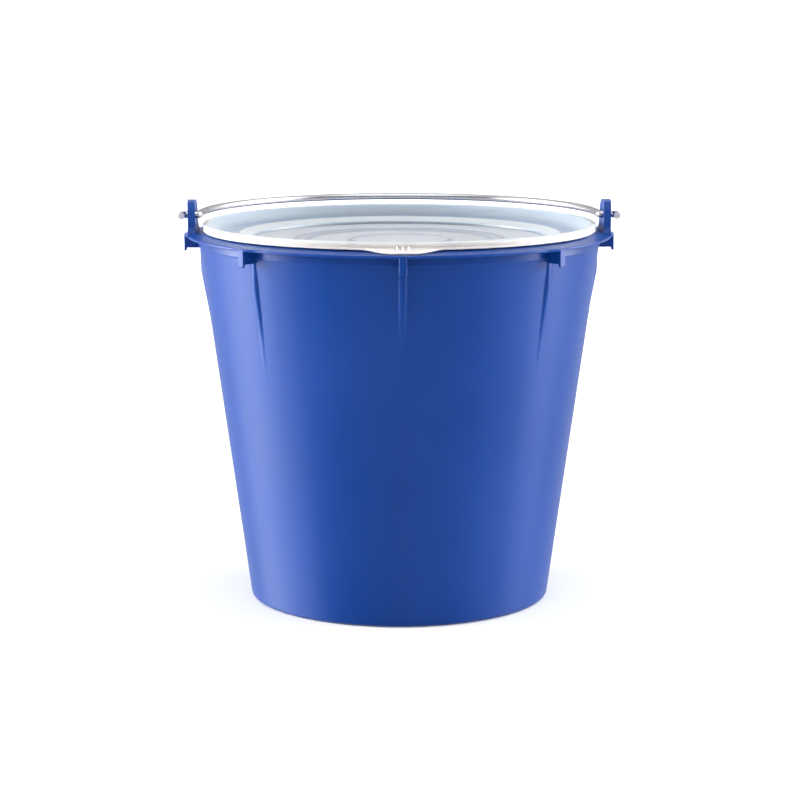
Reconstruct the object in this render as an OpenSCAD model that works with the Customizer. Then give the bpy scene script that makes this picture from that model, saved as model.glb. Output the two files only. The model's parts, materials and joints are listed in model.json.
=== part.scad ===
// Tapered plastic bucket with eight rim tabs, a push-on lid and a wire bail.
// The origin is the centre of the base, +Z is up and -Y is the front.

/* [Bucket wall] */
// Outer radius that the wall's slope meets at the floor
foot_r = 128; // [120:0.5:134]
// Outward lean of the wall per unit of height
wall_lean = 0.138; // [0.12:0.002:0.14]
// Wall and floor thickness
wall_t = 2.2; // [1.8:0.1:2.6]
// Radius of the rounded lower edge
edge_r = 4.4; // [3:0.2:6]
// Height of the hollow under the floor, inside the foot ring
foot_recess = 2.5; // [1.5:0.1:3]

/* [Rim] */
// Height at which the tapered wall ends and the collar begins
collar_z = 304; // [302:0.5:305]
// Outer radius of the upright collar under the brim
collar_r = 170.6; // [170.5:0.1:171.5]
// Outer radius of the brim
brim_r = 180.2; // [179:0.1:181]
// Height of the brim's outer edge, top face
brim_z = 313.4; // [313:0.1:313.8]
// Thickness of the brim
brim_t = 2; // [1.6:0.1:2.2]
// Rise of the brim's top face from its edge to the neck
brim_rise = 2.6; // [2:0.1:2.8]
// Outer radius of the bead that the lid pushes over
bead_r = 165; // [164.6:0.1:165.1]
// Inner radius of the bucket's mouth
mouth_r = 161.8; // [161.6:0.1:162]
// Height of the top of the bead
bead_top = 320.8; // [320.4:0.1:320.9]

/* [Rim tabs] */
// Number of tabs around the rim
tab_count = 8; // [4:4:8]
// Width of a tab's web
tab_w = 6.2; // [5:0.2:8]
// Outer radius of a tab's lip
tab_r = 183.2; // [182.6:0.1:184]
// Thickness of a tab's lip
lip_t = 2.2; // [1.6:0.1:2.6]
// Height of the lower edge of a tab's web
web_z = 301; // [300:0.5:303]
// Height of the lower tip of a tab's lip
lip_z = 298.5; // [297:0.5:300]
// Half the width of the flare that joins the brim to a tab
flare_w = 17; // [12:1:20]
// Radius of the half-round fin below a tab
fin_r = 3.4; // [3:0.1:4]
// Height at which a fin has sunk into the wall
fin_z = 236; // [220:1:250]

/* [Ears] */
// Inner radius of the curved ears
ear_in_r = 173.8; // [173.6:0.1:174]
// Thickness of an ear
ear_t = 6; // [5:0.1:6]
// Height of the top of an ear
ear_top = 341.7; // [340:0.1:343]
// Half the width of an ear level with its hole
ear_half_w = 22; // [20:0.5:24]
// Half the width of an ear where it flares into the brim
ear_foot_w = 33; // [30:0.5:38]
// Height of the pivot holes
pivot_z = 328.9; // [328.8:0.1:329.4]
// Radius of the pivot holes
hole_r = 3.55; // [3.4:0.05:3.8]

/* [Lid] */
// Outer radius of the lid's skirt
lid_r = 167; // [166.9:0.1:167.1]
// Height of the top of the lid's rim
lid_top = 322.8; // [322.7:0.1:322.8]
// Height of the lower edge of the skirt
skirt_z = 316.9; // [316.8:0.1:317.5]
// Thickness of the lid
lid_t = 1.5; // [1.3:0.1:1.5]
// Depth of the middle of the lid below its rim
lid_depth = 15.9; // [14.4:0.1:16.4]
// Radius of the raised ridge around the lid's floor
ridge_r = 136; // [134:1:138]
// Radius of the step inside it
lid_step_r = 126; // [122:1:128]
// Radii of the raised rings on the middle of the lid
ring_radii = [42.5, 79, 90]; // [40:0.5:92]
// Radius that the pull tongue reaches
tongue_r = 179.4; // [177:0.2:180]
// Half the width of the tongue where it leaves the skirt
tongue_root_w = 34; // [28:1:38]
// Half the width of the tongue's tip
tongue_tip_w = 8; // [6:1:12]

/* [Bail] */
// Diameter of the wire
wire_d = 6; // [5.4:0.1:6]
// Radius of the bail's arc
bail_r = 170.3; // [170.2:0.1:170.4]
// Radius of the bend inside the ear
bend_in_r = 3.4; // [3.2:0.1:3.5]
// Radius of the bend outside the ear
bend_out_r = 4; // [3.5:0.1:4.5]
// Distance of the hooked tips from the middle plane
tip_x = 184.8; // [184.4:0.1:185.2]
// Reach of the hooked tips in front of the pivots
tip_y = 12; // [8:1:14]

/* [Hidden] */
smooth = 96;
eps = 0.05;
blue = [0.09, 0.24, 0.62];
milky = [0.87, 0.9, 0.94];
steel = [0.75, 0.76, 0.77];

// Bucket: places that follow from the driving dimensions
collar_step = 0.4;
lean_angle = atan(wall_lean);
edge_centre_r = foot_r + wall_lean * edge_r - edge_r / cos(lean_angle);
foot_ring_w = 7;
brim_under = brim_z - brim_t;
brim_top = brim_z + brim_rise;
neck_r = bead_r - 1.2;
neck_z = 316.6;
bead_z = 318.2;
floor_z = foot_recess + wall_t;
shoulder_z = brim_top - 1.5;
tab_step = 360 / tab_count;
ear_z = brim_under + 1;
ear_out_r = ear_in_r + ear_t;

// Lid: places that follow from the driving dimensions
lid_mid = lid_top - lid_depth;
ridge_z = lid_top - 8.7;
groove_r = ridge_r + 4;
groove_z = ridge_z - 2.1;
lid_step_z = lid_top - 12;
lid_step_h = 2.4;
rim_in_r = lid_r - 7;
rim_in_z = lid_top - 0.6;
dish_run = 8;
dish_fillet = 6;
dish_angle = atan((rim_in_z - groove_z) / dish_run);
dish_foot_r = rim_in_r - dish_run - dish_fillet * tan(dish_angle / 2);
seal_r = mouth_r - 0.5;
seal_t = 1.4;
seal_z = skirt_z + 1.4;
skirt_in_r = lid_r - lid_t;
ceiling_z = lid_top - lid_t;
ring_w = 6;
ring_h = 1.8;
tongue_t = 1.6;
tongue_gap = 0.6;
grip_pitch = 4.6;
grip_w = 1.2;
grip_h = 3;
grip_reach = 6;

// Bail: chamfer at the cut ends of the wire
cut_edge = 0.6;

// Points along an arc about centre c with radius r, from angle a to angle b
function arc(c, r, a, b, n = 6) =
    [for (i = [0:n]) c + r * [cos(a + (b - a) * i / n), sin(a + (b - a) * i / n)]];

// Outer radius of the tapered wall at height z
function wall_r(z) = foot_r + wall_lean * z;

// Smooth step from 0 at t = 0 to 1 at t = 1
function ease(t) = (1 - cos(180 * t)) / 2;

// Height of the brim's top face at radius r
function brim_face(r) = brim_z + brim_rise * (brim_r - r) / (brim_r - neck_r);

// Half outline of the filled bucket, from the axis up the outside to the bead
function bucket_outside() = concat(
    [[0, foot_recess],
     [edge_centre_r - foot_ring_w - foot_recess, foot_recess],
     [edge_centre_r - foot_ring_w, 0]],
    arc([edge_centre_r, edge_r], edge_r, -90, -lean_angle),
    [[wall_r(collar_z), collar_z],
     [collar_r, collar_z + collar_step],
     [collar_r, brim_under - 0.8]],
    arc([collar_r + 0.8, brim_under - 0.8], 0.8, 180, 90, 3),
    arc([brim_r - brim_t / 2, brim_z - brim_t / 2], brim_t / 2, -90, 90),
    [[neck_r + 0.9, brim_face(neck_r + 0.9)],
     [neck_r, neck_z],
     [neck_r, bead_z - 0.8],
     [bead_r, bead_z]],
    arc([bead_r - 1, bead_top - 1], 1, 0, 90, 4),
    [[0, bead_top]]
);

// Half outline of the bucket's cavity, open past the top of the bead
function bucket_inside() = concat(
    [[0, floor_z]],
    arc([wall_r(floor_z) - wall_t - edge_r, floor_z + edge_r], edge_r, -90, -lean_angle),
    [[wall_r(collar_z - 2) - wall_t, collar_z - 2],
     [wall_r(collar_z - 2) - wall_t, brim_under - 3],
     [mouth_r, shoulder_z]],
    arc([mouth_r + 0.8, bead_top - 0.8], 0.8, 180, 90, 3),
    [[mouth_r + 0.8, bead_top + 1],
     [0, bead_top + 1]]
);

// Flare of the brim at one tab, seen from above along +X
function flare_outline() = concat(
    [[brim_r - 6, -flare_w]],
    [for (i = [-8:8])
        let (y = flare_w * i / 8)
        [sqrt(brim_r * brim_r - y * y) - 0.3 + (tab_r - brim_r + 0.3) * ease(1 - abs(i) / 8), y]],
    [[brim_r - 6, flare_w]]
);

// One tab on the +X side: flare, web, lip and the fin below it
module tab() {
    web_in = wall_r(web_z) - 1;
    translate([0, 0, brim_under])
        linear_extrude(brim_t)
            polygon(flare_outline());
    translate([web_in, -tab_w / 2, web_z])
        cube([tab_r - lip_t - web_in + eps, tab_w, brim_under + 0.5 - web_z]);
    translate([tab_r - lip_t, -tab_w / 2, lip_z])
        cube([lip_t, tab_w, brim_under + 0.5 - lip_z]);
    fin();
}

// Half-round fin that sinks into the wall towards its lower end
module fin() {
    top = [wall_r(web_z) - 0.4, web_z + 1];
    low = [wall_r(fin_z) - fin_r, fin_z];
    run = top - low;
    translate([low[0], 0, low[1]])
        rotate([0, atan2(run[0], run[1]), 0])
            cylinder(r = fin_r, h = norm(run), $fn = smooth);
}

// Half outline of an ear's face: flare, side and rounded top, in [y, z]
function ear_side() =
    let (flare_h = pivot_z - 5 - ear_z)
    let (corner = 9)
    let (top_w = ear_half_w - 2.5)
    concat(
        [for (i = [0:8])
            let (a = 90 * i / 8)
            [ear_foot_w - (ear_foot_w - ear_half_w) * sin(a), ear_z + flare_h * (1 - cos(a))]],
        [[ear_half_w - 0.4, pivot_z + 1]],
        arc([top_w - corner, ear_top - corner - 0.6], corner, 12, 78, 6)
    );

// Curved ear on the +X side, with its pivot hole
module ear() {
    half = ear_side();
    other = [for (i = [len(half) - 1:-1:0]) [-half[i][0], half[i][1]]];
    difference() {
        intersection() {
            difference() {
                cylinder(r = ear_out_r, h = ear_top + 1, $fn = smooth);
                translate([0, 0, -1])
                    cylinder(r = ear_in_r, h = ear_top + 3, $fn = smooth);
            }
            rotate([90, 0, 90])
                linear_extrude(ear_out_r + 1)
                    polygon(concat(half, [[0, ear_top]], other));
        }
        translate([ear_in_r - 5, 0, pivot_z])
            rotate([0, 90, 0])
                cylinder(r = hole_r, h = ear_t + 10, $fn = smooth);
    }
}

// Bucket in one moulding: wall, floor, foot ring, collar, brim, tabs and ears
module bucket() {
    color(blue)
        difference() {
            union() {
                rotate_extrude($fn = smooth)
                    polygon(bucket_outside());
                for (i = [0:tab_count - 1])
                    rotate([0, 0, i * tab_step])
                        tab();
                for (side = [0, 180])
                    rotate([0, 0, side])
                        ear();
            }
            rotate_extrude($fn = smooth)
                polygon(bucket_inside());
        }
}

// Top face of the lid from the axis to the foot of its rim, in [r, z]
function lid_face() = concat(
    [[0, lid_mid],
     [ring_radii[2] + 4, lid_mid],
     [lid_step_r - 1, lid_step_z - lid_step_h],
     [lid_step_r, lid_step_z],
     [ridge_r, ridge_z],
     [groove_r, groove_z]],
    arc([dish_foot_r, groove_z + dish_fillet], dish_fillet, -90, dish_angle - 90, 4),
    [[rim_in_r, rim_in_z]]
);

// Same face moved down by the lid's thickness, from the rim back to the axis
function lid_back() =
    let (face = lid_face())
    [for (i = [len(face) - 1:-1:0]) face[i] - [0, lid_t]];

// Half section of the lid, with its skirt, bead channel and seal lip
function lid_section() = concat(
    lid_face(),
    [[rim_in_r + 1, lid_top]],
    arc([lid_r - 1.5, lid_top - 1.5], 1.5, 90, 0, 4),
    [[lid_r, skirt_z],
     [skirt_in_r, skirt_z],
     [skirt_in_r, ceiling_z],
     [seal_r, ceiling_z],
     [seal_r, seal_z],
     [seal_r - 0.4, seal_z - 0.8],
     [seal_r - seal_t, seal_z - 0.8],
     [seal_r - seal_t, ceiling_z - 2.4]],
    lid_back()
);

// Raised ring on the middle of the lid
module lid_ring(r) {
    translate([0, 0, lid_mid - eps])
        rotate_extrude($fn = smooth)
            polygon([[r - ring_w / 2, 0], [r - ring_w / 4, ring_h], [r + ring_w / 4, ring_h], [r + ring_w / 2, 0]]);
}

// Half outline of the tongue from its root to its tip, seen from above
function tongue_edge() =
    [for (i = [0:10])
        let (t = i / 10)
        [tongue_root_w + (tongue_tip_w - tongue_root_w) * t,
         -(lid_r - 4) - (tongue_r - 0.8 - lid_r + 4) * ease(t)]];

// Pull tongue: a sloping plate that follows the brim out to its edge
module tongue() {
    edge = tongue_edge();
    other = [for (i = [len(edge) - 1:-1:0]) [-edge[i][0], edge[i][1]]];
    root_r = skirt_in_r + 0.2;
    intersection() {
        rotate_extrude($fn = smooth)
            polygon([
                [root_r, brim_face(root_r) + tongue_gap],
                [tongue_r, brim_face(tongue_r) + tongue_gap],
                [tongue_r, brim_face(tongue_r) + tongue_gap + tongue_t],
                [root_r, brim_face(root_r) + tongue_gap + tongue_t]
            ]);
        linear_extrude(lid_top)
            polygon(concat(edge, [[0, -tongue_r]], other));
    }
}

// Three small gussets between the skirt and the tongue
module grip_ribs() {
    foot_z = brim_face(lid_r) + tongue_gap + tongue_t - 0.8;
    for (i = [-1:1])
        translate([i * grip_pitch, 0, 0])
            rotate([90, 0, -90])
                linear_extrude(grip_w, center = true)
                    polygon([
                        [lid_r - 0.5, foot_z],
                        [lid_r + grip_reach, foot_z - 0.8],
                        [lid_r + grip_reach, foot_z + 0.6],
                        [lid_r - 0.5, foot_z + grip_h]
                    ]);
}

// Lid in one moulding: dished plate, rim, skirt, seal lip and pull tongue
module lid() {
    color(milky)
        union() {
            rotate_extrude($fn = smooth)
                polygon(lid_section());
            for (r = ring_radii)
                lid_ring(r);
            tongue();
            grip_ribs();
        }
}

// Arc of the wire in a level plane about centre c, from angle a to angle b
module wire_arc(c, r, a, b) {
    translate([c[0], c[1], 0])
        rotate([0, 0, a])
            rotate_extrude(angle = b - a, $fn = smooth)
                translate([r, 0])
                    circle(d = wire_d, $fn = smooth);
}

// End of the bail on the +X side: inner bend, pivot, outer bend and tip
module bail_end() {
    pivot_x = bail_r + bend_in_r;
    wire_arc([pivot_x, bend_in_r], bend_in_r, 180, 270);
    translate([pivot_x, 0, 0])
        rotate([0, 90, 0])
            cylinder(d = wire_d, h = tip_x - bend_out_r - pivot_x, $fn = smooth);
    wire_arc([tip_x - bend_out_r, -bend_out_r], bend_out_r, 0, 90);
    translate([tip_x, -bend_out_r, 0])
        rotate([90, 0, 0]) {
            cylinder(d = wire_d, h = tip_y - cut_edge - bend_out_r, $fn = smooth);
            translate([0, 0, tip_y - cut_edge - bend_out_r])
                cylinder(d1 = wire_d, d2 = wire_d - 2 * cut_edge, h = cut_edge, $fn = smooth);
        }
}

// Bail in one wire, folded back so that it lies level behind the pivots
module bail() {
    color(steel)
        translate([0, 0, pivot_z]) {
            wire_arc([0, bend_in_r], bail_r, 0, 180);
            bail_end();
            mirror([1, 0, 0])
                bail_end();
        }
}

bucket();
lid();
bail();
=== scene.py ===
"""Looks of the plastic fermenting bucket: a blue moulded bucket, its milky lid and its wire bail.

Outlines are written in millimetres as (radius, height) pairs and turned into metres as the meshes are made.
Angles are measured about +Z from the front, which is -Y, towards +X.
"""

import json
import math

import bmesh
import bpy
from mathutils import Matrix, Vector


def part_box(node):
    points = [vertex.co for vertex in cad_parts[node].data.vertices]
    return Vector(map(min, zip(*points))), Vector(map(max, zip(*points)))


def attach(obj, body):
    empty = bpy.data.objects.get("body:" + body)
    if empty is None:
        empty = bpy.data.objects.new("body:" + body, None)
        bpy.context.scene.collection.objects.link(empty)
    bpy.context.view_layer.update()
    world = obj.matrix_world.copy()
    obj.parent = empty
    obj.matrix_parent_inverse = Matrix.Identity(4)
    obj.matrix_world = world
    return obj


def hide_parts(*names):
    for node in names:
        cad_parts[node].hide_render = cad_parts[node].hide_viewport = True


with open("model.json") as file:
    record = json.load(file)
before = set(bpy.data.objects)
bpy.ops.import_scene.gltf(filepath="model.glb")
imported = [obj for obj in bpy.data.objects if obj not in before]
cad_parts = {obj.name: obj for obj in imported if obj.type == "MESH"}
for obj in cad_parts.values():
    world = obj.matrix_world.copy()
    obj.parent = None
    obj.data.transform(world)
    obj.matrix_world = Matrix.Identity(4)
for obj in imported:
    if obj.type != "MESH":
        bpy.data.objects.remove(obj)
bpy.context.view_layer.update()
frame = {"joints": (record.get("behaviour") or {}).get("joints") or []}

MM = 0.001


def in_mm(corner):
    """A corner of a CAD box, in millimetres."""
    return [c / MM for c in corner]


# Places taken from the frame, in millimetres
bucket_low, bucket_high = map(in_mm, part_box("bucket"))
lid_low, lid_high = map(in_mm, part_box("lid"))
bail_low, bail_high = map(in_mm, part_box("bail"))
swing = next(j for j in frame["joints"] if j["name"] == "bail_swing")
pivot_z = swing["pos_m"][2] / MM

TAB_R = bucket_high[0]
EAR_TOP = bucket_high[2]
LID_TOP = lid_high[2]
LID_R = lid_high[1]
TONGUE_R = -lid_low[1]
WIRE_R = (bail_high[2] - bail_low[2]) / 2
TIP_X = bail_high[0] - WIRE_R

# Bucket, in millimetres
FOOT_R = 128.0
WALL_LEAN = 0.138
WALL_T = 2.2
EDGE_R = 4.4
FLOOR_UNDER = 2.5
FOOT_RING_R = 117.2
GATE_IN_R = 8.0
GATE_OUT_R = 12.6
GATE_DEPTH = 0.6
COLLAR_Z = 304.0
COLLAR_R = 170.6
BRIM_R = 180.2
BRIM_Z = 313.4
BRIM_T = 2.0
BRIM_RISE = 2.6
NECK_R = 163.8
NECK_TOP = 317.4
BEAD_R = 165.0
BEAD_Z = 318.2
BEAD_TOP = 320.8
MOUTH_R = 161.8
MOUTH_Z = 314.4
SHELF_Z = 308.4

# Tabs and fins, in millimetres
TAB_COUNT = 8
TAB_W = 6.4
LIP_T = 2.2
WEB_Z = 301.0
LIP_Z = 298.5
FLARE_W = 17.0
FIN_R = 3.5
FIN_DEPTH = 3.3
FIN_Z = 234.0

# Ears, in millimetres
EAR_IN_R = 173.8
EAR_T = 6.0
EAR_Z = BRIM_Z - BRIM_T + 1.0
EAR_HALF_W = 22.0
EAR_FOOT_W = 33.0
EAR_FOOT_H = 6.5
EAR_FOOT_FLARE = 1.6
EAR_CORNER_R = 10.0
EAR_EDGE_R = 1.3
HOLE_R = 3.55

# Lid, in millimetres
LID_T = 1.5
LID_MID = LID_TOP - 15.9
SKIRT_Z = 316.9
FLARE = 1.6
LIP_H = 1.6
RIM_IN_R = LID_R - 7.0
RIDGE_R = 136.0
RIDGE_Z = LID_TOP - 8.7
STEP_R = 126.0
STEP_Z = LID_TOP - 12.0
STEP_H = 2.4
WALL_DRAFT = 8.0
RINGS = (42.5, 79.0, 90.0)
RING_H = 1.8
RING_HALF_W = 3.0
TONGUE_ROOT_W = 34.0
TONGUE_TIP_W = 8.0
RIB_PITCH = 4.6
RIB_W = 1.2

# Bail, in millimetres
BEND_IN_R = 3.4
BEND_OUT_R = 4.0
BAIL_R = bail_high[1] - WIRE_R - BEND_IN_R
TIP_Y = 12.0

# The view: distance and height of the eye in metres, angles in degrees
EYE_REACH = 2.1434
EYE_HEIGHT = 0.5361
EYE_PITCH = 9.733
EYE_YAW = 0.92
LENS = 113.47
SENSOR = 36.0
SHIFT_X = 0.0009

# Studio: brightness behind the object, and soft round glows at the sides and high in front. Each glow is
# (angle from the front, height above level, angle of its even core, angle of its faded edge, brightness),
# with its angles in degrees
BACK_LIGHT = 0.71
GLOWS = (
    (-95, 8, 8, 30, 20.9),
    (-97, -22, 12, 38, 3.7),
    (95, 8, 8, 30, 9.2),
    (85, -22, 12, 38, 0.95),
    (97, 20, 12, 38, 3.9),
    (0, 58, 15, 45, 1.7),
)


# ---------------------------------------------------------------- outlines

def rounded(points, steps=5):
    """An open outline with its corners rounded: points are (r, z, corner radius)."""
    out = [points[0][:2]]
    for before, here, after in zip(points, points[1:], points[2:]):
        corner = Vector(here[:2])
        to_a = Vector(before[:2]) - corner
        to_b = Vector(after[:2]) - corner
        if here[2] <= 0:
            out.append(tuple(corner))
            continue
        half = to_a.angle(to_b) / 2
        reach = min(here[2] / math.tan(half), to_a.length * 0.49, to_b.length * 0.49)
        radius = reach * math.tan(half)
        middle = corner + (to_a.normalized() + to_b.normalized()).normalized() * (radius / math.sin(half))
        start = corner + to_a.normalized() * reach - middle
        end = corner + to_b.normalized() * reach - middle
        sweep = start.angle_signed(end)
        for i in range(steps + 1):
            turn = -sweep * i / steps
            out.append((middle.x + start.x * math.cos(turn) - start.y * math.sin(turn),
                        middle.y + start.x * math.sin(turn) + start.y * math.cos(turn)))
    out.append(points[-1][:2])
    return out


def spread(points, longest):
    """The outline with extra points, so that no stretch is longer than longest(r, z)."""
    out = [points[0]]
    for a, b in zip(points, points[1:]):
        gap = math.dist(a, b)
        parts = max(1, math.ceil(gap / longest((a[0] + b[0]) / 2, (a[1] + b[1]) / 2)))
        out += [(a[0] + (b[0] - a[0]) * i / parts, a[1] + (b[1] - a[1]) * i / parts)
                for i in range(1, parts + 1)]
    return out


def ease(t):
    """Smooth step from 0 at t = 0 to 1 at t = 1."""
    return (1 - math.cos(math.pi * min(max(t, 0.0), 1.0))) / 2


def soft_max(a, b, blend):
    """The larger of a and b, with a fillet of about that size where they cross."""
    return (a + b + math.sqrt((a - b) ** 2 + blend ** 2)) / 2


def wall_r(z):
    """Outer radius of the tapered wall at height z."""
    return FOOT_R + WALL_LEAN * z


def brim_face(r):
    """Height of the brim's top face at radius r."""
    return BRIM_Z + BRIM_RISE * (BRIM_R - r) / (BRIM_R - NECK_R)


# ---------------------------------------------------------------- meshes

def mesh_object(name, bm):
    """A new object from a bmesh in millimetres, with outward normals."""
    bmesh.ops.scale(bm, vec=(MM, MM, MM), verts=bm.verts)
    bmesh.ops.recalc_face_normals(bm, faces=bm.faces)
    mesh = bpy.data.meshes.new(name)
    bm.to_mesh(mesh)
    bm.free()
    obj = bpy.data.objects.new(name, mesh)
    bpy.context.scene.collection.objects.link(obj)
    return obj


def turn_about_z(bm, angle):
    """Turns a bmesh about the bucket's axis."""
    bmesh.ops.rotate(bm, cent=(0, 0, 0), matrix=Matrix.Rotation(angle, 3, "Z"), verts=bm.verts)


def lengthen(bm, face, along):
    """Draws a face out into a solid along a vector."""
    grown = bmesh.ops.extrude_face_region(bm, geom=[face])
    moved = [v for v in grown["geom"] if isinstance(v, bmesh.types.BMVert)]
    bmesh.ops.translate(bm, vec=along, verts=moved)


def round_edges(bm, edges, radius, steps):
    """Rounds some edges of a bmesh."""
    bmesh.ops.bevel(
        bm, geom=edges, offset=radius, segments=steps, profile=0.5, affect="EDGES", clamp_overlap=True,
    )


def turned(angles, section):
    """A closed turned body as a bmesh: section(angle) gives one column of (r, z) from axis to axis."""
    bm = bmesh.new()
    columns = []
    ends = None
    for angle in angles:
        points = section(angle)
        if ends is None:
            ends = [bm.verts.new((0, 0, points[i][1])) for i in (0, -1)]
        along_x, along_y = math.sin(angle), -math.cos(angle)
        columns.append([bm.verts.new((r * along_x, r * along_y, z)) for r, z in points[1:-1]])
    for left, right in zip(columns, columns[1:] + columns[:1]):
        bm.faces.new((ends[0], left[0], right[0]))
        bm.faces.new((ends[1], right[-1], left[-1]))
        for i in range(len(left) - 1):
            bm.faces.new((left[i], left[i + 1], right[i + 1], right[i]))
    return bm


def apply_modifiers(obj):
    """Replaces the object's mesh with the result of its modifiers."""
    graph = bpy.context.evaluated_depsgraph_get()
    mesh = bpy.data.meshes.new_from_object(obj.evaluated_get(graph), depsgraph=graph)
    obj.modifiers.clear()
    old = obj.data
    obj.data = mesh
    mesh.name = obj.name
    bpy.data.meshes.remove(old)


def combine(target, others, operation):
    """Joins or cuts the other objects into target and deletes them."""
    for other in others:
        mod = target.modifiers.new("combine", "BOOLEAN")
        mod.operation = operation
        mod.solver = "EXACT"
        mod.object = other
        apply_modifiers(target)
        bpy.data.objects.remove(other)


def finish_surface(obj, sharp_degrees=38):
    """Drops needless points, shades smooth with crisp creases, and keeps flat faces looking flat."""
    bm = bmesh.new()
    bm.from_mesh(obj.data)
    bmesh.ops.remove_doubles(bm, verts=bm.verts, dist=2e-6)
    on_lines = [v for v in bm.verts if len(v.link_edges) == 2]
    bmesh.ops.dissolve_verts(bm, verts=on_lines)
    for face in bm.faces:
        face.smooth = True
    limit = math.radians(sharp_degrees)
    for edge in bm.edges:
        edge.smooth = len(edge.link_faces) == 2 and edge.calc_face_angle(0) < limit
    bm.to_mesh(obj.data)
    bm.free()
    mod = obj.modifiers.new("flat_faces", "WEIGHTED_NORMAL")
    mod.keep_sharp = True
    mod.weight = 50
    apply_modifiers(obj)


# ---------------------------------------------------------------- bucket

def bucket_outline():
    """Section of the bucket from the axis, under the floor, up the outside and back down the inside."""
    inner_top = COLLAR_Z - 2
    inner_r = wall_r(inner_top) - WALL_T
    floor_top = FLOOR_UNDER + WALL_T
    outline = rounded([
        (0, FLOOR_UNDER, 0),
        (GATE_IN_R, FLOOR_UNDER, 0.4),
        (GATE_IN_R + GATE_DEPTH, FLOOR_UNDER + GATE_DEPTH, 0.4),
        (GATE_OUT_R - GATE_DEPTH, FLOOR_UNDER + GATE_DEPTH, 0.4),
        (GATE_OUT_R, FLOOR_UNDER, 0.4),
        (FOOT_RING_R - 2.4, FLOOR_UNDER, 1.2),
        (FOOT_RING_R, 0, 0.8),
        (FOOT_R, 0, EDGE_R),
        (wall_r(COLLAR_Z), COLLAR_Z, 0.4),
        (COLLAR_R, COLLAR_Z + 0.5, 0.4),
        (COLLAR_R, BRIM_Z - BRIM_T, 1.4),
        (BRIM_R, BRIM_Z - BRIM_T, 0.8),
        (BRIM_R, BRIM_Z, 0.9),
        (NECK_R, brim_face(NECK_R), 1.2),
        (NECK_R, NECK_TOP, 0.4),
        (BEAD_R, BEAD_Z, 0.4),
        (BEAD_R, BEAD_TOP, 1.1),
        (MOUTH_R, BEAD_TOP, 1.0),
        (MOUTH_R, MOUTH_Z, 2.5),
        (inner_r, SHELF_Z, 3.0),
        (inner_r, inner_top, 4.0),
        (wall_r(floor_top) - WALL_T, floor_top, EDGE_R),
        (0, floor_top, 0),
    ])
    return spread(outline, lambda r, z: 3.0 if FIN_Z - 6 < z < COLLAR_Z and r > wall_r(z) - 1 else 24.0)


def fin_height(across, z):
    """How far a fin stands out of the wall, at a distance across from its middle and a height z."""
    if not FIN_Z - 8 < z < COLLAR_Z:
        return 0.0
    depth = FIN_DEPTH * (z - FIN_Z) / (WEB_Z - FIN_Z)
    reach = FIN_R * FIN_R - across * across
    round_top = math.sqrt(reach) if reach > 0 else -1.6 * (abs(across) - FIN_R)
    stand = soft_max(depth - FIN_R + round_top, 0.0, 0.35)
    fade_out = ease((COLLAR_Z - z) / (COLLAR_Z - WEB_Z))
    return stand * fade_out * ease((FIN_R * 2.2 - abs(across)) / 2.0)


def nearest_tab(angle):
    """Signed angle from the nearest tab."""
    step = math.tau / TAB_COUNT
    return (angle + step / 2) % step - step / 2


def bucket_angles():
    """Column angles: close together across each tab and fin, and wider between them."""
    half = 180 / TAB_COUNT
    offsets = [i * 0.16 for i in range(-15, 16)]
    offsets += [s * (2.4 + i * 0.6) for s in (-1, 1) for i in range(1, 8)]
    offsets += [s * (6.6 + i * (half - 6.6) / 9) for s in (-1, 1) for i in range(1, 9)] + [-half]
    return [math.radians(tab * 2 * half + o) for tab in range(TAB_COUNT) for o in sorted(offsets)]


def bucket_shell():
    """Wall, floor, collar, brim and bead, with the fins and the brim's flares raised out of the surface."""
    outline = bucket_outline()
    flare_from = COLLAR_R + 2

    def section(angle):
        off = nearest_tab(angle)
        column = []
        for r, z in outline:
            outside = r > wall_r(z) - 0.2
            if outside and z < COLLAR_Z:
                r += fin_height(off * r, z)
            if r > flare_from and z > COLLAR_Z:
                flare = (TAB_R - BRIM_R) * ease(1 - abs(off * BRIM_R) / FLARE_W)
                r += flare * (r - flare_from) / (BRIM_R - flare_from)
            column.append((r, z))
        return column

    return mesh_object("bucket_body", turned(bucket_angles(), section))


def slab(outline, width, bevel):
    """A plate with the given (x, z) outline, centred on y = 0, with rounded edges, as a bmesh."""
    bm = bmesh.new()
    face = bm.faces.new([bm.verts.new((x, -width / 2, z)) for x, z in outline])
    lengthen(bm, face, (0, width, 0))
    round_edges(bm, list(bm.edges), bevel, 3)
    return bm


def rim_tab(number):
    """One tab under the brim: a web from the collar and a lip that hangs from the brim's flare."""
    top = BRIM_Z - BRIM_T / 2 - 0.1
    outline = [
        (wall_r(WEB_Z) - 1.0, top),
        (wall_r(WEB_Z) - 1.0, WEB_Z),
        (TAB_R - LIP_T, WEB_Z),
        (TAB_R - LIP_T + 0.2, LIP_Z),
        (TAB_R - 0.1, LIP_Z),
        (TAB_R - 0.1, top),
    ]
    bm = slab(outline, TAB_W, 0.7)
    turn_about_z(bm, number * math.tau / TAB_COUNT)
    return mesh_object("tab", bm)


def ear_outline():
    """Outline of an ear in (y, z): flared foot, straight sides and rounded top."""
    flare_h = pivot_z - 5 - EAR_Z
    side = [(EAR_FOOT_W - (EAR_FOOT_W - EAR_HALF_W) * math.sin(a), EAR_Z + flare_h * (1 - math.cos(a)))
            for a in (math.radians(i * 7.5) for i in range(13))]
    corner_y = EAR_HALF_W - 2.5 - EAR_CORNER_R
    corner_z = EAR_TOP - 0.6 - EAR_CORNER_R
    side += [(corner_y + EAR_CORNER_R * math.cos(a), corner_z + EAR_CORNER_R * math.sin(a))
             for a in (math.radians(10 + i * 7) for i in range(11))]
    side += [(4.0, EAR_TOP - 0.06)]
    return side + [(-y, z) for y, z in reversed(side)]


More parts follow.
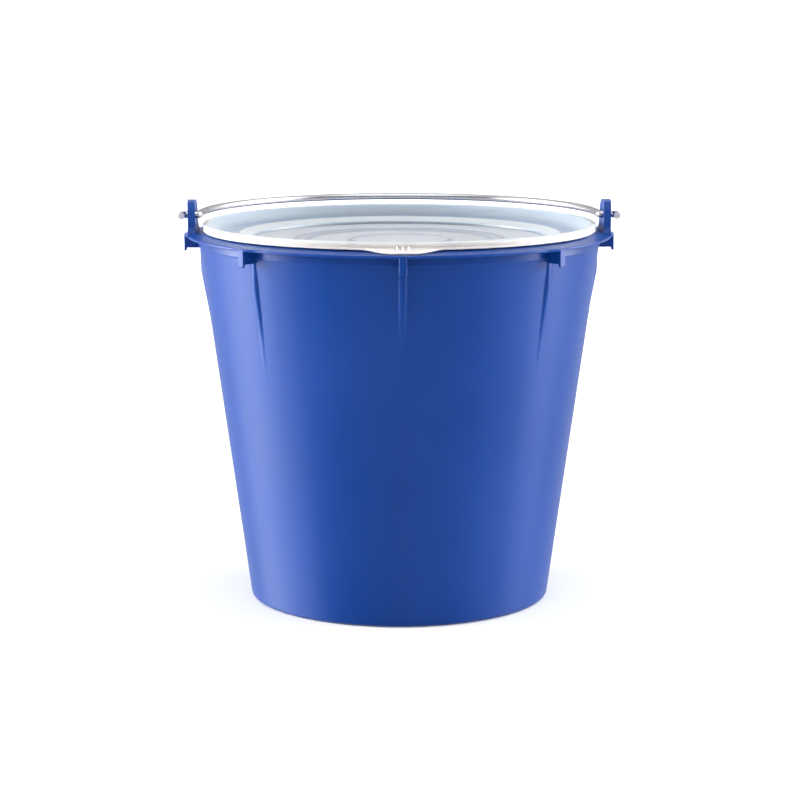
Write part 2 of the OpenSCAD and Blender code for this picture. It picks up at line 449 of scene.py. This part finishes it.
def pivot_drill(side):
    """The shape cut out of an ear for the wire: a round hole that opens out at both faces."""
    bm = bmesh.new()
    sides = 40
    mouth = [(-2.0, HOLE_R + 1.7), (-0.5, HOLE_R + 0.5), (0.4, HOLE_R)]
    profile = [(EAR_IN_R + depth, radius) for depth, radius in mouth]
    profile += [(EAR_IN_R + EAR_T - 1.0 - depth, radius) for depth, radius in reversed(mouth)]
    loops = []
    for along, radius in profile:
        loops.append([bm.verts.new((side * along, radius * math.cos(a), pivot_z + radius * math.sin(a)))
                      for a in (math.tau * i / sides for i in range(sides))])
    for near, far in zip(loops, loops[1:]):
        for i in range(sides):
            bm.faces.new((near[i], near[(i + 1) % sides], far[(i + 1) % sides], far[i]))
    bm.faces.new(loops[0])
    bm.faces.new(loops[-1])
    return mesh_object("drill", bm)


def ear(side):
    """A curved ear that follows the rim, with a thickened foot and a drilled pivot hole."""
    bm = bmesh.new()
    face = bm.faces.new([bm.verts.new((0, y, z)) for y, z in ear_outline()])
    lengthen(bm, face, (EAR_T, 0, 0))
    edges = [e for e in bm.edges
             if abs(e.verts[0].co.x - e.verts[1].co.x) < 0.01 and max(v.co.z for v in e.verts) > EAR_Z + 0.01]
    round_edges(bm, edges, EAR_EDGE_R, 4)
    cuts = [((0, i * 2.0 + 0.5, 0), (0, 1, 0)) for i in range(-16, 17)]
    cuts += [((0, 0, EAR_Z + 0.9 * i), (0, 0, 1)) for i in range(1, 8)]
    for place, normal in cuts:
        everything = bm.verts[:] + bm.edges[:] + bm.faces[:]
        bmesh.ops.bisect_plane(bm, geom=everything, plane_co=place, plane_no=normal)
    for v in bm.verts:
        x, y, z = v.co
        foot = EAR_FOOT_FLARE * max(0.0, 1 - (z - EAR_Z) / EAR_FOOT_H) ** 2
        radius = EAR_IN_R + x + foot * (x / EAR_T * 2 - 1)
        v.co.x = side * math.sqrt(radius * radius - y * y)
    plate = mesh_object("ear", bm)
    combine(plate, [pivot_drill(side)], "DIFFERENCE")
    return plate


def make_bucket():
    """The bucket in one closed mesh: shell, eight tabs and two ears."""
    body = bucket_shell()
    combine(body, [rim_tab(i) for i in range(TAB_COUNT)], "UNION")
    combine(body, [ear(-1), ear(1)], "UNION")
    finish_surface(body)
    return body


# ---------------------------------------------------------------- lid

def lid_face():
    """Top face of the lid from the axis to the rim: floor, step, ridge, groove and wall."""
    groove_r = RIDGE_R + 4.0
    groove_z = RIDGE_Z - 2.1
    return rounded([
        (0, LID_MID, 0),
        (RINGS[2] + 4, LID_MID, 8),
        (STEP_R - 1.0, STEP_Z - STEP_H, 0.7),
        (STEP_R, STEP_Z, 0.7),
        (RIDGE_R, RIDGE_Z, 1.6),
        (groove_r, groove_z, 1.2),
        (RIM_IN_R - WALL_DRAFT, groove_z + 0.8, 6.0),
        (RIM_IN_R, LID_TOP - 1.5, 0),
    ])


def ring_height(r):
    """Height of the raised rings on the lid's floor."""
    return sum(RING_H * ease(1 - abs(r - ring) / RING_HALF_W) for ring in RINGS)


def lid_outline():
    """Section of the lid: top face, rim, skirt, bead channel, seal lip and underside."""
    top = spread(lid_face(), lambda r, z: 0.6 if any(abs(r - ring) < 4 for ring in RINGS) else 3.5)
    under = [(r, z - LID_T) for r, z in reversed(top)]
    top = [(r, z + ring_height(r)) for r, z in top]
    seal_r = MOUTH_R - 0.5
    inner_r = LID_R - LID_T
    rim = rounded([
        (top[-1][0], top[-1][1], 0),
        (RIM_IN_R + 2.0, LID_TOP, 3.0),
        (LID_R, LID_TOP, 2.2),
        (LID_R, SKIRT_Z + LIP_H + 1.2, 0),
    ])[1:]
    channel = rounded([
        (inner_r, SKIRT_Z, 0),
        (inner_r, LID_TOP - LID_T, 0.6),
        (seal_r, LID_TOP - LID_T, 0.6),
        (seal_r, SKIRT_Z + 1.0, 0.6),
        (seal_r - 1.4, SKIRT_Z + 1.0, 0.4),
        (seal_r - 1.4, LID_TOP - 4.4, 0),
        (under[0][0], under[0][1], 0),
    ], steps=3)[:-1]
    return top, rim, channel, under


def tongue_part(angle):
    """0 beside the tongue, rising smoothly to 1 along its tip, at an angle from the front."""
    across = abs(angle) * LID_R
    return ease((TONGUE_ROOT_W - across) / (TONGUE_ROOT_W - TONGUE_TIP_W))


def lip_reach(angle):
    """How far the lip of the skirt stands out, which is less beside the ears."""
    beside_ear = ease(1.5 - abs(abs(angle) - math.radians(95)) / math.radians(24))
    return FLARE - (FLARE - 0.3) * beside_ear


def make_lid():
    """The lid in one closed mesh, with the pull tongue drawn out of the skirt's lip."""
    top, rim, channel, under = lid_outline()
    fine = [math.radians(i * 0.5) for i in range(-30, 31)]
    coarse = [math.radians(15 + i * 1.5) for i in range(1, 220)]
    slope = BRIM_RISE / (BRIM_R - NECK_R)
    plate_z = SKIRT_Z + 1.4

    def section(angle):
        signed = (angle + math.pi) % math.tau - math.pi
        lip = lip_reach(signed)
        reach = lip + (TONGUE_R - LID_R - lip) * tongue_part(signed)
        flat = min(1.0, (reach - lip) / 4.0)
        out = LID_R + reach
        root_z = plate_z * flat + (SKIRT_Z + LIP_H) * (1 - flat)
        tip_z = plate_z - slope * reach - 0.2 * (1 - flat)
        plate = rounded([
            (LID_R, SKIRT_Z + LIP_H + 1.2, 0),
            (LID_R + 0.02, root_z, 0.8),
            (out, tip_z, 0.5 + 0.2 * flat),
            (out, tip_z - 1.2 - 0.3 * flat, 0.4 + 0.2 * flat),
            (LID_R - LID_T, SKIRT_Z, 0),
        ], steps=4)[1:-1]
        return top + rim + plate + channel + under

    body = mesh_object("lid_body", turned(fine + coarse, section))
    combine(body, [grip_rib(i) for i in (-1, 0, 1)], "UNION")
    finish_surface(body)
    return body


def grip_rib(place):
    """A small gusset between the skirt and the tongue."""
    foot = SKIRT_Z + 0.6
    outline = [
        (LID_R - 0.6, foot),
        (LID_R + 6.5, foot - 0.6),
        (LID_R + 6.0, foot + 0.9),
        (LID_R - 0.6, foot + 2.4),
    ]
    bm = slab(outline, RIB_W, 0.35)
    turn_about_z(bm, -math.pi / 2)
    bmesh.ops.translate(bm, vec=(place * RIB_PITCH, 0, 0), verts=bm.verts)
    return mesh_object("rib", bm)


# ---------------------------------------------------------------- bail

def bail_route():
    """Middle line of the wire from the left tip to the right tip, as (x, y) in the folded-back plane."""
    half_turn = [math.pi * i / 160 for i in range(1, 160)]
    quarter_turn = [math.radians(i * 9) for i in range(11)]
    arc = [(BAIL_R * math.cos(a), BEND_IN_R + BAIL_R * math.sin(a)) for a in half_turn]
    inner = [(BAIL_R + BEND_IN_R * (1 - math.cos(a)), BEND_IN_R * (1 - math.sin(a))) for a in quarter_turn]
    outer = [(TIP_X - BEND_OUT_R * (1 - math.sin(a)), BEND_OUT_R * (math.cos(a) - 1)) for a in quarter_turn]
    right = inner + outer + [(TIP_X, -TIP_Y)]
    return [(-x, y) for x, y in reversed(right)] + arc[::-1] + right


def make_bail():
    """The wire bail: a round wire swept along its route, with eased cut ends."""
    route = [Vector((x, y, pivot_z)) for x, y in bail_route()]
    sides = 24
    cut = [(0.2, 1.0), (0.1, 0.97), (0.03, 0.9), (0.0, 0.82)]
    bm = bmesh.new()
    rings = []
    for i, point in enumerate(route):
        ahead = (route[min(i + 1, len(route) - 1)] - route[max(i - 1, 0)]).normalized()
        across = ahead.cross(Vector((0, 0, 1))).normalized()
        caps = [(0.0, 1.0)]
        if i == 0:
            caps = [(inward, size) for inward, size in reversed(cut)]
        if i == len(route) - 1:
            caps = [(-inward, size) for inward, size in cut]
        for along, size in caps:
            centre = point + ahead * along * WIRE_R
            turns = [math.tau * s / sides for s in range(sides)]
            spokes = [across * math.cos(a) + Vector((0, 0, math.sin(a))) for a in turns]
            rings.append([bm.verts.new(centre + spoke * WIRE_R * size) for spoke in spokes])
    for near, far in zip(rings, rings[1:]):
        for i in range(sides):
            bm.faces.new((near[i], near[(i + 1) % sides], far[(i + 1) % sides], far[i]))
    bm.faces.new(rings[0])
    bm.faces.new(rings[-1])
    wire = mesh_object("bail_wire", bm)
    finish_surface(wire, 60)
    return wire


# ---------------------------------------------------------------- materials

class Nodes:
    """Short-hand for building a node material that is fixed to its piece."""

    def __init__(self, name):
        self.material = bpy.data.materials.new(name + "_look")
        self.material.use_nodes = True
        self.tree = self.material.node_tree
        self.shader = self.tree.nodes["Principled BSDF"]
        self.place = self.add("ShaderNodeTexCoord").outputs["Object"]

    def add(self, kind, **values):
        """A new node with some of its settings."""
        node = self.tree.nodes.new(kind)
        for key, value in values.items():
            setattr(node, key, value)
        return node

    def link(self, source, target):
        """Joins an output to an input."""
        self.tree.links.new(source, target)

    def noise(self, scale, detail=3.0, stretch=(1, 1, 1), rough=0.5):
        """Noise in the object's own coordinates, stretched by a factor along each axis."""
        mapping = self.add("ShaderNodeMapping")
        mapping.inputs["Scale"].default_value = stretch
        self.link(self.place, mapping.inputs["Vector"])
        node = self.add("ShaderNodeTexNoise")
        node.inputs["Scale"].default_value = scale
        node.inputs["Detail"].default_value = detail
        node.inputs["Roughness"].default_value = rough
        self.link(mapping.outputs["Vector"], node.inputs["Vector"])
        return node.outputs["Fac"]

    def ramp(self, source, low, high, start, end):
        """Values from start to end as source goes from low to high."""
        node = self.add("ShaderNodeMapRange")
        for key, value in zip(("From Min", "From Max", "To Min", "To Max"), (low, high, start, end)):
            node.inputs[key].default_value = value
        self.link(source, node.inputs["Value"])
        return node.outputs["Result"]

    def maths(self, operation, a, b=None):
        """One step of arithmetic on numbers or sockets."""
        node = self.add("ShaderNodeMath", operation=operation)
        for socket, value in zip(node.inputs, (a, b)):
            if value is None:
                continue
            if isinstance(value, (int, float)):
                socket.default_value = value
            else:
                self.link(value, socket)
        return node.outputs["Value"]

    def mix(self, factor, a, b):
        """Mixes two colours; each is a colour or a socket."""
        node = self.add("ShaderNodeMix", data_type="RGBA")
        sockets = [s for s in node.inputs if s.type == "RGBA"]
        if isinstance(factor, (int, float)):
            node.inputs["Factor"].default_value = factor
        else:
            self.link(factor, node.inputs["Factor"])
        for socket, value in zip(sockets, (a, b)):
            if isinstance(value, (tuple, list)):
                socket.default_value = (*value, 1.0)
            else:
                self.link(value, socket)
        return [s for s in node.outputs if s.type == "RGBA"][0]

    def bump(self, height, distance, strength=1.0, before=None):
        """A bumped normal, on top of another one where that is given."""
        node = self.add("ShaderNodeBump")
        node.inputs["Distance"].default_value = distance
        node.inputs["Strength"].default_value = strength
        self.link(height, node.inputs["Height"])
        if before is not None:
            self.link(before, node.inputs["Normal"])
        return node.outputs["Normal"]


def blue_plastic():
    """Satin moulded polypropylene: deep blue, faint flow marks, fine grain and light scuffs."""
    n = Nodes("bucket_plastic")
    cloud = n.noise(9.0, 2.0)
    flow = n.noise(30.0, 3.0, (1.0, 1.0, 0.12))
    colour = n.mix(n.ramp(cloud, 0.35, 0.65, 0.0, 1.0), (0.002, 0.038, 0.215), (0.003, 0.042, 0.235))
    colour = n.mix(n.ramp(flow, 0.45, 0.75, 0.0, 0.25), colour, (0.006, 0.053, 0.270))
    n.link(colour, n.shader.inputs["Base Color"])
    scuffs = n.noise(140.0, 4.0, (1.0, 1.0, 0.05), 0.6)
    rough = n.maths("ADD", n.ramp(cloud, 0.3, 0.7, 0.30, 0.36), n.ramp(scuffs, 0.55, 0.8, 0.0, 0.10))
    n.link(rough, n.shader.inputs["Roughness"])
    grain = n.noise(2600.0, 2.0)
    wave = n.noise(14.0, 1.0, (1.0, 1.0, 0.5))
    normal = n.bump(wave, 0.0012, 0.35)
    n.link(n.bump(grain, 0.00002, 0.5, normal), n.shader.inputs["Normal"])
    n.shader.inputs["IOR"].default_value = 1.5
    n.shader.inputs["Specular IOR Level"].default_value = 0.25
    n.shader.inputs["Subsurface Weight"].default_value = 0.15
    n.shader.inputs["Subsurface Radius"].default_value = (0.2, 0.5, 1.0)
    n.shader.inputs["Subsurface Scale"].default_value = 0.005
    return n.material


def milky_plastic():
    """Natural polyethylene: milky white on the skirt, with painted shade across the top of the rim, and a
    painted blue-grey show-through of the bucket with painted shade across the recess, its wall, groove, step
    and rings.
    """
    n = Nodes("lid_plastic")
    split = n.add("ShaderNodeSeparateXYZ")
    n.link(n.place, split.inputs["Vector"])
    x, y, z = split.outputs
    radius = n.maths("SQRT", n.maths("ADD", n.maths("MULTIPLY", x, x), n.maths("MULTIPLY", y, y)))

    def beyond(r, blend=1.0):
        """1 outside a radius and 0 inside it."""
        return n.ramp(radius, (r - blend / 2) * MM, (r + blend / 2) * MM, 0.0, 1.0)

    def within(r, blend=1.0):
        """1 inside a radius and 0 outside it."""
        return n.ramp(radius, (r - blend / 2) * MM, (r + blend / 2) * MM, 1.0, 0.0)

    cloud = n.noise(22.0, 3.0)
    tint = n.mix(n.ramp(cloud, 0.3, 0.7, 0.0, 1.0), (0.90, 0.90, 0.93), (0.94, 0.94, 0.96))
    # Painted shade: the top 2.6 mm of the rim is painted grey.
    rim_top_painted_shade = n.ramp(z, (LID_TOP - 2.6) * MM, (LID_TOP - 0.8) * MM, 0.0, 1.0)
    tint = n.mix(rim_top_painted_shade, tint, (0.46, 0.49, 0.53))
    # Painted show-through of the blue bucket and painted shade: the whole recess is painted blue-grey.
    recess_painted_tint = within(RIM_IN_R + 2.0, 2.0)
    tint = n.mix(recess_painted_tint, tint, (0.49, 0.57, 0.67))
    # Painted show-through of the blue bucket and painted shade: the recess's sloping wall is painted a deeper
    # blue.
    wall = n.maths("MULTIPLY", recess_painted_tint, beyond(RIDGE_R + 3, 4.0))
    tint = n.mix(wall, tint, (0.37, 0.48, 0.69))
    # Painted shade: the foot of the recess's wall, in the groove beside the ridge, is painted dark blue.
    foot = n.maths("MULTIPLY", wall, n.ramp(z, (RIDGE_Z - 1.0) * MM, (RIDGE_Z + 3.5) * MM, 1.0, 0.0))
    tint = n.mix(foot, tint, (0.24, 0.32, 0.48))
    # Painted show-through of the blue bucket: the floor inside the step is painted blue-grey.
    tint = n.mix(within(STEP_R - 1), tint, (0.42, 0.46, 0.54))
    # Painted shade: a dark blue-grey line along the step's wall.
    tint = n.mix(n.maths("MULTIPLY", beyond(STEP_R - 1.6), within(STEP_R + 0.6)), tint, (0.30, 0.38, 0.52))
    # Painted shade: a dark band along each raised ring.
    for ring in RINGS:
        line = n.maths("MULTIPLY", beyond(ring - 2.5), within(ring + 2.5))
        tint = n.mix(n.maths("MULTIPLY", line, 0.9), tint, (0.24, 0.26, 0.31))
    n.link(tint, n.shader.inputs["Base Color"])
    scuffs = n.noise(180.0, 4.0, (1.0, 1.0, 1.0), 0.6)
    n.link(n.ramp(scuffs, 0.35, 0.75, 0.31, 0.34), n.shader.inputs["Roughness"])
    wave = n.noise(25.0, 2.0)
    n.link(n.bump(wave, 0.0001, 0.2), n.shader.inputs["Normal"])
    n.shader.inputs["IOR"].default_value = 1.5
    n.shader.inputs["Subsurface Weight"].default_value = 1.0
    n.shader.inputs["Subsurface Radius"].default_value = (0.8, 0.9, 1.0)
    n.shader.inputs["Subsurface Scale"].default_value = 0.012
    return n.material


def bright_steel():
    """Zinc-plated drawn wire: bright, with a fine grain, small dull patches and duller cut ends."""
    n = Nodes("bail_steel")
    patches = n.noise(70.0, 4.0)
    n.link(n.mix(n.ramp(patches, 0.4, 0.7, 0.0, 1.0), (0.68, 0.68, 0.69), (0.60, 0.60, 0.62)),
           n.shader.inputs["Base Color"])
    n.link(n.ramp(patches, 0.35, 0.7, 0.20, 0.26), n.shader.inputs["Roughness"])
    split = n.add("ShaderNodeSeparateXYZ")
    n.link(n.place, split.inputs["Vector"])
    metal = n.ramp(split.outputs["Y"], (0.5 - TIP_Y) * MM, (0.2 - TIP_Y) * MM, 0.92, 0.2)
    n.link(metal, n.shader.inputs["Metallic"])
    n.shader.inputs["Specular Tint"].default_value = (0.5, 0.5, 0.51, 1.0)
    n.link(n.bump(n.noise(900.0, 3.0), 0.00001, 0.3), n.shader.inputs["Normal"])
    return n.material


def pale_floor():
    """Plain pale studio floor."""
    n = Nodes("studio_floor")
    cloud = n.noise(1.5, 2.0)
    n.link(n.mix(cloud, (0.90, 0.90, 0.90), (0.92, 0.92, 0.92)), n.shader.inputs["Base Color"])
    n.shader.inputs["Roughness"].default_value = 0.9
    n.shader.inputs["Specular IOR Level"].default_value = 0.1
    return n.material


# ---------------------------------------------------------------- studio

def make_floor():
    """A wide plain floor."""
    reach = 60.0
    bm = bmesh.new()
    corners = ((-reach, -reach), (reach, -reach), (reach, reach), (-reach, reach))
    bm.faces.new([bm.verts.new((x, y, 0)) for x, y in corners])
    mesh = bpy.data.meshes.new("floor")
    bm.to_mesh(mesh)
    bm.free()
    floor = bpy.data.objects.new("floor", mesh)
    bpy.context.scene.collection.objects.link(floor)
    floor.data.materials.append(pale_floor())
    floor.visible_glossy = False


def direction(azimuth, height):
    """Unit vector at an angle from the front and a height above level, in degrees."""
    a, h = math.radians(azimuth), math.radians(height)
    return math.cos(h) * math.sin(a), -math.cos(h) * math.cos(a), math.sin(h)


def make_world():
    """A white studio behind the object, with soft glows at the sides and high in front."""
    world = bpy.data.worlds.new("studio")
    world.use_nodes = True
    tree = world.node_tree
    background = tree.nodes["Background"]
    background.inputs["Color"].default_value = (1.0, 1.0, 1.0, 1.0)
    place = tree.nodes.new("ShaderNodeTexCoord")

    def along(axis):
        """How far the view into the studio points along an axis, from -1 to 1."""
        node = tree.nodes.new("ShaderNodeVectorMath")
        node.operation = "DOT_PRODUCT"
        node.inputs[1].default_value = axis
        tree.links.new(place.outputs["Generated"], node.inputs[0])
        return node.outputs["Value"]

    def fade(value, low, high, brightness):
        """Rises smoothly from 0 to brightness as value goes from low to high."""
        node = tree.nodes.new("ShaderNodeMapRange")
        node.interpolation_type = "SMOOTHSTEP"
        for key, number in zip(("From Min", "From Max", "To Min", "To Max"), (low, high, 0.0, brightness)):
            node.inputs[key].default_value = number
        tree.links.new(value, node.inputs["Value"])
        return node.outputs["Result"]

    def combined(operation, a, b):
        """One step of arithmetic on two sockets."""
        node = tree.nodes.new("ShaderNodeMath")
        node.operation = operation
        tree.links.new(a, node.inputs[0])
        tree.links.new(b, node.inputs[1])
        return node.outputs["Value"]

    level = fade(along((0, 1, 0)), -0.35, 0.15, BACK_LIGHT)
    for azimuth, height, core, edge, brightness in GLOWS:
        edge_cos, core_cos = math.cos(math.radians(edge)), math.cos(math.radians(core))
        glow = fade(along(direction(azimuth, height)), edge_cos, core_cos, brightness)
        level = combined("ADD", level, glow)
    seen = tree.nodes.new("ShaderNodeLightPath").outputs["Is Camera Ray"]  # keeps the backdrop white
    level = combined("MAXIMUM", level, seen)
    tree.links.new(level, background.inputs["Strength"])
    bpy.context.scene.world = world


def make_camera():
    """The camera at the photograph's angle."""
    data = bpy.data.cameras.new("view")
    data.lens = LENS
    data.sensor_width = SENSOR
    data.shift_x = SHIFT_X
    camera = bpy.data.objects.new("view", data)
    yaw = math.radians(EYE_YAW)
    camera.location = (-EYE_REACH * math.sin(yaw), -EYE_REACH * math.cos(yaw), EYE_HEIGHT)
    camera.rotation_euler = (math.radians(90 - EYE_PITCH), 0, -yaw)
    bpy.context.scene.collection.objects.link(camera)
    bpy.context.scene.camera = camera


def dress(obj, material, body):
    """Gives a piece its material and its body, and hides the CAD node that it stands for."""
    obj.data.materials.clear()
    obj.data.materials.append(material)
    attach(obj, body)
    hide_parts(body)


make_camera()
make_world()
make_floor()
dress(make_bucket(), blue_plastic(), "bucket")
dress(make_lid(), milky_plastic(), "lid")
dress(make_bail(), bright_steel(), "bail")

bpy.context.scene.view_settings.view_transform = "Standard"
